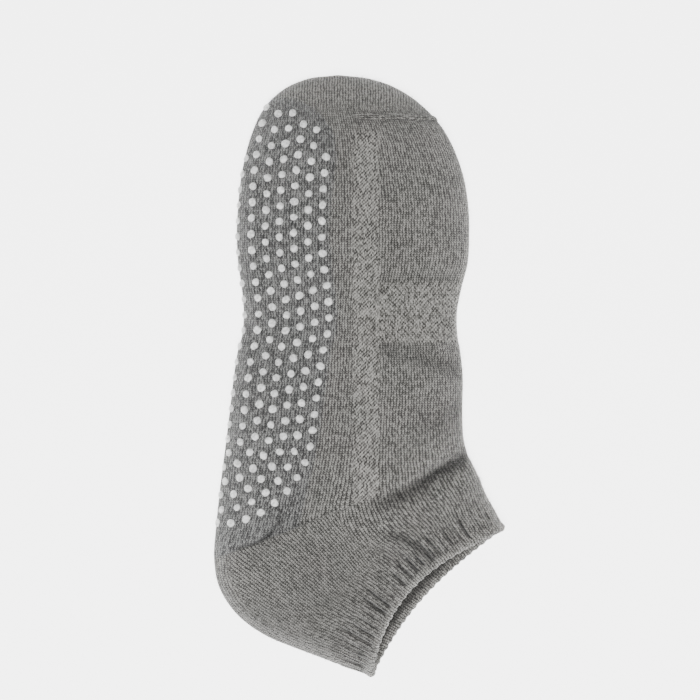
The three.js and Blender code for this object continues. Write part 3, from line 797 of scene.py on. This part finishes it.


# Everything that the looks need at t and turn: the surface points with their relief, UV maps and zones.
# The relief is soft noise - creases + the heel's lap - the band, faded out on the lower wall, + ribs. The
# tone adds up how much lighter each of them and each zone looks: random mottle, zone tones, and painted
# shade in the creases, under the heel's lap and in the rib grooves, with painted light along the folds.
def dress(t, turn):
    points, share, width = skin(t, turn)
    normal, _ = skinNormals(t, turn)
    arcShare = gridSample(arcGrid, t, turn)
    courses = gridSample(courseGrid, t, turn)
    onTop = smoothStep(0.02, 0.35, np.sin(2 * np.pi * turn))
    fromFold = share * width
    x, y, z = np.moveaxis(points, -1, 0)

    broad, fine, toneAndPaintedShading, soleEdge = [
        amount * softNoise(points, cell, seed) for amount, cell, seed in slack.values()
    ]
    relief = broad + fine
    for wide, deep, dark, line in creasesAndPaintedShade:
        off, along = chainDistance(points, line)
        depth = hump(off, wide) * between((0, 0.22), (0.78, 1), along)
        relief -= deep * depth
        # Painted shade along each crease and shade patch, painted light where the value is negative.
        toneAndPaintedShading -= dark * depth
    off, along = chainDistance(points, heelFold["line"])
    ends = np.where((along <= 0) | (along >= 1), 0, np.sin(np.pi * np.clip(along, 0.001, 0.999)) ** 0.6)
    bulge, groove, shade, softShade = [
        height * hump(off - middle, wide)
        for middle, wide, height in [heelFold[key] for key in ("bulge", "groove", "shade", "softShade")]
    ]
    relief += ends * (bulge + groove)
    # Painted shade under the heel's lap.
    toneAndPaintedShading += ends * (shade + softShade)
    onBand = 1 - smoothStep(*zoneEdges["bandHalf"], np.abs(y - zoneEdges["bandMiddle"]))
    onBand = onBand * smoothStep(*zoneEdges["bandStart"], x)
    relief -= zoneEdges["bandSink"] * onBand
    relief *= onTop
    height, shade = ribRelief(t, arcShare)
    relief = relief + height
    # Painted shade in the cuff's rib grooves.
    toneAndPaintedShading = toneAndPaintedShading + zoneTones["ribs"] * shade * smoothStep(0.0, 0.1, onTop)
    toneAndPaintedShading = toneAndPaintedShading + zoneTones["cuff"] * smoothStep(cuffRow - 0.3, cuffRow + 0.3, t)

    foot = t < goreRow
    underToes = np.maximum(y - dots["toeCentre"], 0) / zoneEdges["soleToeReach"]
    toeOut = np.sqrt((fromFold / sock["soleHalfWidth"]) ** 2 + underToes**2)
    sole = (1 - smoothStep(0.985, 1.015, toeOut + soleEdge)) * foot
    strip = 1 - smoothStep(*zoneEdges["stripHalf"], np.abs(x - zoneEdges["stripMiddle"]))
    strip = strip * between(zoneEdges["stripStart"], zoneEdges["stripEnd"], y) * foot
    band = onBand * foot
    pocketFar = 0.5 + 0.1 * smoothStep(goreRow + 0.4, goreRow + 2.5, t)
    pocket = smoothStep(goreRow - 0.02, goreRow + 0.03, t)
    pocket = pocket * (1 - smoothStep(zoneEdges["pocketEdge"], pocketFar, share))
    pocket = pocket * (1 - smoothStep(legRow - 0.6, legRow + 0.6, t))
    toe = 1 - smoothStep(*zoneEdges["toeRows"], t)
    for key, zone in (("strip", strip), ("band", band), ("sole", sole), ("pocket", pocket)):
        toneAndPaintedShading = toneAndPaintedShading + zoneTones[key] * zone
    # Painted light along the instep's fold, fading out at the toe.
    light, wide = zoneTones["instepRimPaintedLight"]
    toneAndPaintedShading = toneAndPaintedShading + light * hump(width - fromFold, wide) * smoothStep(5.5, 7.5, t)
    # Painted light along the sole's fold.
    light, wide = zoneTones["soleRimPaintedLight"]
    toneAndPaintedShading = toneAndPaintedShading + light * hump(fromFold, wide)
    besideSeam = hump(np.abs(y - zoneEdges["seamLine"]) - 1.9, 0.7) * smoothStep(0.5, 0.56, share)
    toneAndPaintedShading = toneAndPaintedShading + zoneTones["besideSeam"] * besideSeam * (t < zoneEdges["seamRows"])

    goreOff, _ = chainDistance(points, gore["line"])
    lean = np.clip(1 - np.abs(goreOff) / gore["leanReach"], 0, 1) ** 2 * foot
    lean = lean * (1 - smoothStep(*gore["leanShares"], share))
    lean = np.where(np.sin(2 * np.pi * turn) >= 0, lean, -lean)
    wales = arcShare * sock["wales"] + gore["leanWales"] * lean
    angle = np.arctan2(y - gore["fanY"], gore["fanX"] - x)
    spread = np.hypot(y - gore["fanY"], x - gore["fanX"])
    inHeel = t > gore["fanFrom"]
    fanU = np.where(inHeel, angle * gore["fanRadius"], x) / sock["fanPitch"]
    fanV = np.where(inHeel, spread, y - z) / sock["coursePitch"]
    goreStart = np.array(gore["line"][1])
    goreWay = np.array(gore["line"][2]) - goreStart
    alongGore = (points[..., :2] - goreStart) @ unit(goreWay)
    suture = between(gore["holesStart"], gore["holesEnd"], alongGore)

    uvMaps = {
        "tube": np.stack([wales, courses], -1),
        "fan": np.stack([fanU, fanV], -1),
        "plan": points[..., :2].copy(),
        "gore": np.stack([alongGore, goreOff], -1),
    }
    zones = {
        "sole": sole,
        "strip": strip,
        "band": band,
        "fanShare": np.clip(pocket * smoothStep(4, 10, fromFold) + toe, 0, 1),
        "toneAndPaintedShading": np.maximum(toneAndPaintedShading, zoneTones["darkest"]),
        "suture": suture * hump(goreOff, gore["holesWide"]),
    }
    return points + relief[..., None] * normal, normal, uvMaps, zones


# The knitted body: the outside, a rounded tip at the toe, and the inside at the wall's thickness, both
# ending under the cuff. The tip's rings shrink by the sine of an angle and bulge by its cosine.
def makeBody():
    t, turn = np.meshgrid(knitRows(body["rows"], cuffRow + body["under"]), turnGrid, indexing="ij")
    points, normal, uvMaps, zones = dress(t, turn)
    sink = body["sink"] * smoothStep(cuffRow - 0.06, cuffRow + body["under"], t)
    points = points - sink[..., None] * normal

    angle = 0.5 * np.pi * np.arange(body["capRings"]) / body["capRings"]
    middle = points[0, :-1].mean(axis=0)
    cap = middle + (points[0] - middle) * np.sin(angle)[:, None, None]
    cap[..., 1] += body["capBulge"] * np.cos(angle)[:, None]
    points = np.concatenate([cap, points])
    for grids in (uvMaps, zones):
        for key, grid in grids.items():
            grids[key] = np.concatenate([np.repeat(grid[:1], len(cap), axis=0), grid])
    uvMaps["plan"][: len(cap)] = cap[..., :2]
    uvMaps["fan"][: len(cap), :, 0] = cap[..., 0] / sock["fanPitch"]
    uvMaps["fan"][: len(cap), :, 1] = (cap[..., 1] - cap[..., 2]) / sock["coursePitch"]

    innerT = np.linspace(body["innerStart"], cuffRow + body["under"], body["innerRows"])
    innerTurn = np.linspace(0, 1, body["innerColumns"] + 1)
    t, turn = np.meshgrid(innerT, innerTurn, indexing="ij")
    inside = skin(t, turn)[0] - sock["wall"] * skinNormals(t, turn)[0]
    wales = gridSample(arcGrid, t, turn) * sock["wales"]
    innerMaps = {"tube": np.stack([wales, gridSample(courseGrid, t, turn)], -1), "plan": inside[..., :2]}

    outer = points[:, :-1].reshape(-1, 3)
    inner = inside[:, :-1].reshape(-1, 3)
    blocks = [
        tubeFaces(len(points), len(turnGrid) - 1),
        tubeFaces(len(innerT), body["innerColumns"], len(outer), flip=True),
    ]
    for key, grid in uvMaps.items():
        innerMap = innerMaps.get(key, np.zeros_like(innerMaps["plan"]))
        uvMaps[key] = np.concatenate([tubeCorners(grid), tubeCorners(innerMap, flip=True)])
    # The inside's colour gets a painted shade.
    for key, grid in zones.items():
        innerZone = np.full(len(inner), body["innerPaintedShade"] if key == "toneAndPaintedShading" else 0.0)
        zones[key] = np.concatenate([grid[:, :-1].ravel(), innerZone])
    return meshObject("knitFoot", toFrame(np.concatenate([outer, inner])), blocks, uvMaps, zones)


knitFoot = makeBody()
knitFoot.data.materials.append(knit)
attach(knitFoot, "root")
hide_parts("upper", "sole", "heel_pocket")
print("knitted body")

# The cuff: its outside starts just under the body's, carries the ribs, rolls over at the collar in a soft
# scalloped edge and runs back inside at the thickness of a double welt.
cuff = {
    "perRib": 10,
    "outerRows": 56,
    "rollRows": 16,
    "innerRows": 20,
    "thick": 2.6,
    "start": 0.03,
    "sink": 0.35,
    "roll": 0.11,
    "rollOnTop": 0.14,
    "rollRadius": 1.5,
    "edgeRise": 0.6,
    # Painted light on the outside where it rounds into the roll.
    "edgePaintedLight": 0.26,
    "scallop": 0.16,
    # Painted light on the roll.
    "rollPaintedLight": 0.4,
    # Painted light at the rim of the inside, painted shade deeper in, and where the one fades into the
    # other.
    "innerPaintedShading": (0.2, -0.72),
    "innerFade": (0.02, 0.27),
}


# The roll is base + out * (middle + radius * cos) + ahead * reach * sin over half a turn, where the reach
# is scalloped by a cosine for each rib.
def makeCuff():
    columns = ribs["count"] * cuff["perRib"]
    arc = np.interp(np.linspace(0, 1, columns + 1), arcGrid[-1], turnGrid)
    rollAt = collarRow - cuff["roll"] - cuff["rollOnTop"] * np.maximum(np.sin(2 * np.pi * arc), 0)
    start = cuffRow - cuff["start"]
    t = np.linspace(start, rollAt, cuff["outerRows"])
    points, normal, uvMaps, zones = dress(t, np.broadcast_to(arc, t.shape))
    sink = cuff["sink"] * (1 - smoothStep(start, cuffRow + 0.12, t))
    edge = smoothStep(rollAt - 0.21, rollAt, t)
    points = points + (cuff["edgeRise"] * edge - sink)[..., None] * normal
    # Painted light where the outside rounds into the roll.
    zones["toneAndPaintedShading"] = zones["toneAndPaintedShading"] + cuff["edgePaintedLight"] * edge

    base = skin(rollAt[None], arc[None])[0]
    out, around = skinNormals(rollAt[None], arc[None])
    ahead = unit(np.cross(around, out))
    top = ((points[-1:] - base) * out).sum(axis=-1, keepdims=True)
    middle, radius = 0.5 * (top - cuff["thick"]), 0.5 * (top + cuff["thick"])
    phase = np.linspace(0, np.pi, cuff["rollRows"] + 1)[1:-1][:, None, None]
    wave = 2 * np.pi * np.linspace(0, ribs["count"], columns + 1)
    scallop = 1 + cuff["scallop"] * np.cos(wave + 0.6 + 0.9 * np.sin(wave / 11.5))
    reach = cuff["rollRadius"] * scallop[None, :, None]
    roll = base + out * (middle + radius * np.cos(phase)) + ahead * reach * np.sin(phase)

    t = np.linspace(rollAt, start, cuff["innerRows"])
    turn = np.broadcast_to(arc, t.shape)
    inside = skin(t, turn)[0] - cuff["thick"] * skinNormals(t, turn)[0]
    closing = points[:1] - 0.05 * normal[:1]
    grid = np.concatenate([points, roll, inside, closing])

    extraRows = len(grid) - len(points)
    steps = lengthAlong(grid[len(points) - 1 :], 0)[1:] / sock["coursePitch"]
    uvMaps["plan"] = grid[..., :2]
    uvMaps["tube"] = np.concatenate([uvMaps["tube"], uvMaps["tube"][-1:] + np.stack([0 * steps, steps], -1)])
    for key in ("fan", "gore"):
        uvMaps[key] = np.concatenate([uvMaps[key], np.repeat(uvMaps[key][-1:], extraRows, axis=0)])
    uvMaps = {key: tubeCorners(uvMaps[key]) for key in ("tube", "plan", "fan", "gore")}
    # The inside's colour: painted light near the rim that fades to painted shade deeper in.
    deeper = np.linspace(0, 1, cuff["innerRows"] + 1)
    light, dark = cuff["innerPaintedShading"]
    fade = light + (dark - light) * smoothStep(*cuff["innerFade"], deeper)
    # Painted light on the roll.
    fade = np.concatenate([np.full(cuff["rollRows"] - 1, cuff["rollPaintedLight"]), fade])
    for key, values in zones.items():
        tail = np.repeat(values[-1:], extraRows, axis=0)
        if key == "toneAndPaintedShading":
            tail = np.broadcast_to(fade[:, None], tail.shape)
        zones[key] = np.concatenate([values, tail])[:, :-1]
    points = toFrame(grid[:, :-1])
    return meshObject("cuffWelt", points, [tubeFaces(len(grid), columns)], uvMaps, zones)


cuffWelt = makeCuff()
cuffWelt.data.materials.append(knit)
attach(cuffWelt, "root")
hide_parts("cuff")
print("cuff")


# Section, share of the way across and width for points in plan: the range of sections is halved until its
# line passes through the point.
def sectionThrough(x, y):
    low, high = np.zeros_like(x), np.full_like(x, len(sections) - 1.0)
    for _ in range(18):
        t = 0.5 * (low + high)
        x0, y0, x1, y1 = np.moveaxis(blendSections(t)[..., :4], -1, 0)
        ahead = (x1 - x0) * (y - y0) > (y1 - y0) * (x - x0)
        high, low = np.where(ahead, t, high), np.where(ahead, low, t)
    x0, y0, x1, y1 = np.moveaxis(blendSections(low)[..., :4], -1, 0)
    width = np.hypot(x1 - x0, y1 - y0)
    return low, np.hypot(x - x0, y - y0) / width, width


# The turn on the upper or the lower wall at a share of the way across, by halving.
def turnAcross(t, share, upper):
    low, high = np.where(upper, 0.0, 1.0), np.full_like(t, 0.5)
    for _ in range(18):
        turn = 0.5 * (low + high)
        short = skin(t, turn)[1] < share
        low, high = np.where(short, turn, low), np.where(short, high, turn)
    return low


# x of the sole's fold at each y, drawn back to toeDraw of it where the fold curves in under the toes.
def soleLine(y):
    t, _, _ = sectionThrough(np.zeros_like(y), y)
    fold = blendSections(t)[..., 0]
    underToes = (fold > 0) & (y > dots["toeCentre"] - dots["toeReach"])
    return np.where(underToes, dots["toeDraw"] * fold, fold)


# Places of the grip dots as t, turn: columns beside the sole fold that end on the arc under the toes and
# turn through a quarter circle round the heel.
def dotPlaces():
    places = []
    for column in range(dots["columns"] + 1):
        fromFold = dots["firstFromFold"] + column * dots["acrossPitch"]
        frontShare = math.sqrt(max(1 - (column / (dots["columns"] + 0.1)) ** 2, 0))
        front = dots["toeCentre"] + dots["toeReach"] * frontShare
        straight = front - dots["heelCentre"]
        quarter = 0.5 * math.pi * fromFold
        count = round((straight + quarter) / dots["alongPitch"])
        travelled = np.arange(count + 1) / count * (straight + quarter)
        travelled = travelled - (column % 2) * dots["stagger"] * dots["alongPitch"]
        angle = np.clip((travelled - straight) / max(fromFold, 0.1), 0, 0.5 * math.pi)
        y = np.where(travelled < straight, front - travelled, dots["heelCentre"] - fromFold * np.sin(angle))
        x = soleLine(y) + fromFold * np.cos(angle)
        t, share, width = sectionThrough(x, y)
        hidden = (column == 0) & (blendSections(t)[..., 0] - soleLine(y) > 2)
        onFold = (column == 0) | (share * width < 2)
        shareIn = np.maximum(share, dots["firstFromFold"] / width)
        for upper in (True, False):
            keep = ~hidden if upper else ~hidden & ~onFold
            if keep.any():
                places.append(np.stack([t[keep], turnAcross(t[keep], shareIn[keep], upper)], -1))
    return np.concatenate(places)


# Low domes, one for each place: rings at shares of the radius and height, closed by a tip, with a small
# random squeeze of each outline and a shallow pit in some tips.
def makeDots():
    rng = np.random.default_rng(dots["seed"])
    t, turn = dotPlaces().T
    points, normal, _, _ = dress(t, turn)
    _, around = skinNormals(t, turn)
    side = unit(around - (around * normal).sum(-1, keepdims=True) * normal)
    other = np.cross(normal, side)
    segments, ringCount, count = dots["segments"], len(dots["rings"]), len(t)
    angle = 2 * np.pi * np.arange(segments) / segments
    radius = dots["radius"] * rng.uniform(*dots["radiusRange"], count)
    squeeze = rng.uniform(-dots["squeeze"], dots["squeeze"], (count, 1))
    squeeze = squeeze * np.cos(2 * (angle + rng.uniform(0, 3, (count, 1))))
    lumpy = 1 + squeeze + dots["lumps"] * rng.standard_normal((count, segments))
    tall = dots["height"] * rng.uniform(*dots["heightRange"], count)
    flat = side[:, None] * np.cos(angle)[None, :, None] + other[:, None] * np.sin(angle)[None, :, None]
    layers = []
    for spread, rise in dots["rings"]:
        layer = points[:, None] + flat * (radius[:, None] * lumpy * spread)[..., None]
        layers.append(layer + normal[:, None] * (tall * rise)[:, None, None])
    pit = np.where(rng.random(count) < dots["pitShare"], dots["pitHeight"], 1.0)
    tip = points + normal * (tall * pit)[:, None]
    every = np.concatenate([np.stack(layers, 1).reshape(count, -1, 3), tip[:, None]], axis=1)
    k = np.arange(segments)
    top = (ringCount - 1) * segments
    fan = np.stack([top + k, top + (k + 1) % segments, np.full(segments, ringCount * segments)], -1)
    stride = ringCount * segments + 1
    base = np.arange(count)[:, None, None] * stride
    quads = (tubeFaces(ringCount, segments, flip=True) + base).reshape(-1, 4)
    triangles = (fan + base).reshape(-1, 3)
    tint = np.repeat(rng.random(count), stride)
    return meshObject("gripDots", toFrame(every), [quads, triangles], None, {"tint": tint})


# Printed rubber: a tint for each dot between two off-whites, thinner and darker where a cloud noise is low,
# and a fine grain as bump.
rubber = {
    "dull": (0.76, 0.76, 0.75, 1),
    "bright": (0.93, 0.93, 0.915, 1),
    "cloudScale": 850.0,
    "thinnest": 0.62,
    "grainScale": 1500.0,
    "grainDepth": 0.0003,
}


def makeRubber():
    material, tree = newMaterial("gripRubber")
    tint = addNode(tree, "Attribute", attribute_name="tint").outputs["Fac"]
    colour = mixColour(tree, tint, rubber["dull"], rubber["bright"])
    place = addNode(tree, "TexCoord").outputs["Object"]
    grain = noiseNode(tree, place, rubber["grainScale"], 2.0)
    cloud = noiseNode(tree, place, rubber["cloudScale"], 2.0)
    thinRange = {"Value": cloud, 1: 0.38, 2: 0.62, 3: rubber["thinnest"], 4: 1.0}
    colour = shadeBy(tree, colour, addNode(tree, "MapRange", thinRange).outputs[0])
    bumpInputs = {"Strength": 0.4, "Distance": rubber["grainDepth"], "Height": grain}
    bump = addNode(tree, "Bump", bumpInputs).outputs[0]
    addShader(tree, {"Base Color": colour, "Roughness": 0.5, "Specular IOR Level": 0.35, "Normal": bump})
    return material


gripDots = makeDots()
gripDots.data.materials.append(makeRubber())
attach(gripDots, "root")
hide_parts("sole")
print("grip dots")

# The linked toe seam: a closed ridge over the instep fold, from wall to wall, with a knot for each stitch.
toeSeam = {
    "width": 3.0,
    "proud": 0.55,
    "sunk": 0.6,
    "fromHeel": 220.5,
    "endShare": 0.52,
    "taper": 7,
    "knot": 0.16,
    "knotPitch": 1.3,
    "steps": 560,
    "sides": 14,
    "toneAndPaintedShading": -0.04,
}


# The ridge is base + across * half width * cos + normal * height * sin, and both taper as a quarter circle
# at the ends and swell with a cosine for each knot.
def makeToeSeam():
    middleX = np.array([0.5 * sock["ballWidth"]])
    t, _, _ = sectionThrough(middleX, np.array([toeSeam["fromHeel"]]))
    ends = [turnAcross(t, np.array([toeSeam["endShare"]]), upper)[0] for upper in (True, False)]
    turn = np.linspace(ends[0], ends[1], toeSeam["steps"])
    t = np.full_like(turn, t[0])
    base, normal, _, _ = dress(t, turn)
    _, around = skinNormals(t, turn)
    along = unit(around)
    across = np.cross(normal, along)
    length = lengthAlong(base, 0)
    fromEnd = np.minimum(length, length[-1] - length)
    taper = np.sqrt(np.clip(1 - (1 - np.clip(fromEnd / toeSeam["taper"], 0, 1)) ** 2, 0.0004, 1))
    knot = 1 + toeSeam["knot"] * np.cos(2 * np.pi * length / toeSeam["knotPitch"])
    angle = 2 * np.pi * np.arange(toeSeam["sides"] + 1) / toeSeam["sides"]
    half = 0.5 * toeSeam["width"] * taper[:, None] * (0.85 + 0.15 * knot[:, None])
    rise = np.where(np.sin(angle) > 0, toeSeam["proud"], toeSeam["sunk"]) * np.sin(angle)
    rise = rise * taper[:, None] * knot[:, None]
    grid = base[:, None] + across[:, None] * (half * np.cos(angle))[..., None]
    grid = grid + normal[:, None] * rise[..., None]
    wales = np.broadcast_to(1.5 * np.cos(angle) + 0.5, grid.shape[:2])
    tube = np.stack([wales, np.broadcast_to(length[:, None] / toeSeam["knotPitch"], grid.shape[:2])], -1)
    uvMaps = {"tube": tubeCorners(tube), "plan": tubeCorners(grid[..., :2])}
    points = toFrame(grid[:, :-1])
    toneAndPaintedShading = np.full(points.shape[:2], toeSeam["toneAndPaintedShading"])
    return meshObject("toeSeam", points, [tubeFaces(len(grid), toeSeam["sides"])], uvMaps, {"toneAndPaintedShading": toneAndPaintedShading})


toeRidge = makeToeSeam()
toeRidge.data.materials.append(makeKnit("linkedThread"))
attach(toeRidge, "root")
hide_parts("toe_seam")
print("toe seam")


# Loose fibres that stand off the knit: thin three-sided spikes on bent paths, a share of them at the two
# folds. Each path is base + out * reach * s + drift * reach * s ^ 2.
lint = {
    "count": 2200,
    "atFolds": 0.5,
    "foldReach": 0.03,
    "long": (0.7, 2.4),
    "wild": 0.8,
    "drift": 0.6,
    "sunk": 0.05,
    "radius": 0.045,
    "thinning": 0.75,
    "steps": 4,
    "seed": 21,
    "pale": (0.75, 0.74, 0.72, 1),
}


def makeLint():
    rng = np.random.default_rng(lint["seed"])
    count = lint["count"]
    t = rng.uniform(0.5, collarRow - 0.15, count)
    turn = rng.uniform(0.02, 0.48, count)
    folds = rng.random(count) < lint["atFolds"]
    near, atFolds = lint["foldReach"], folds.sum()
    turn[folds] = np.where(rng.random(atFolds) < 0.5, 0.0, 0.5) + rng.uniform(-near, near, atFolds)
    turn = turn % 1
    base, normal, _, _ = dress(t, turn)
    wild = unit(rng.standard_normal((count, 3)))
    out = unit(normal + lint["wild"] * wild)
    drift = rng.standard_normal((count, 3)) * lint["drift"]
    drift -= (drift * normal).sum(-1, keepdims=True) * normal
    reach = rng.uniform(*lint["long"], count) * (0.4 + 0.6 * rng.random(count))
    s = np.linspace(0, 1, lint["steps"])
    path = base[:, None] + out[:, None] * (reach[:, None] * s)[..., None] - lint["sunk"] * normal[:, None]
    path = path + drift[:, None] * (reach[:, None] * s**2)[..., None]
    side = unit(np.cross(out, wild))
    other = np.cross(out, side)
    thin = lint["radius"] * (1 - lint["thinning"] * s)
    angle = 2 * np.pi * np.arange(3) / 3
    rings = [
        path + (side[:, None] * math.cos(a) + other[:, None] * math.sin(a)) * thin[:, None] for a in angle
    ]
    points = toFrame(np.stack(rings, 2))
    faces = tubeFaces(lint["steps"], 3, flip=True) + np.arange(count)[:, None, None] * lint["steps"] * 3
    return meshObject("looseFibres", points, [faces.reshape(-1, 4)])


# Noise mixes the yarn's dark with a near white.
def makeFibre():
    material, tree = newMaterial("looseFibre")
    place = addNode(tree, "TexCoord").outputs["Object"]
    colour = mixColour(tree, noiseNode(tree, place, 300.0, 1.0), yarn["dark"], lint["pale"])
    addShader(tree, {"Base Color": colour, "Roughness": 0.8})
    return material


looseFibres = makeLint()
looseFibres.data.materials.append(makeFibre())
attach(looseFibres, "root")
print("loose fibres")


# The white floor with a glow of its own, even white surroundings and one large soft light, nearly overhead
# and a little from the heel's side.
studio = {
    "half": 15,
    "paper": (0.9, 0.9, 0.9, 1),
    "glow": 3.8,
    "sky": 0.5,
    "lampSize": 0.7,
    "lampEnergy": 19,
    "lampPlace": (-0.04, -0.32, 1.1),
}


def makeStudio():
    half = studio["half"]
    corners = np.array([(-half, -half, 0), (half, -half, 0), (half, half, 0), (-half, half, 0)])
    floor = meshObject("floor", corners, [np.array([[0, 1, 2, 3]])])
    material, tree = newMaterial("floorPaper")
    shader = {
        "Base Color": studio["paper"],
        "Roughness": 0.9,
        "Specular IOR Level": 0.1,
        "Emission Color": (1, 1, 1, 1),
        "Emission Strength": studio["glow"],
    }
    addShader(tree, shader)
    floor.data.materials.append(material)
    world = bpy.data.worlds.new("surroundings")
    world.use_nodes = True
    sky = world.node_tree.nodes["Background"]
    sky.inputs["Color"].default_value = (1, 1, 1, 1)
    sky.inputs["Strength"].default_value = studio["sky"]
    bpy.context.scene.world = world
    lamp = bpy.data.lights.new("softbox", "AREA")
    lamp.shape = "DISK"
    lamp.size = studio["lampSize"]
    lamp.energy = studio["lampEnergy"]
    light = addObject("softbox", lamp)
    light.location = studio["lampPlace"]
    x, y, z = studio["lampPlace"]
    light.rotation_euler = (math.atan2(math.hypot(x, y), z), 0, math.atan2(-y, -x) - 0.5 * math.pi)


makeStudio()
print("studio")
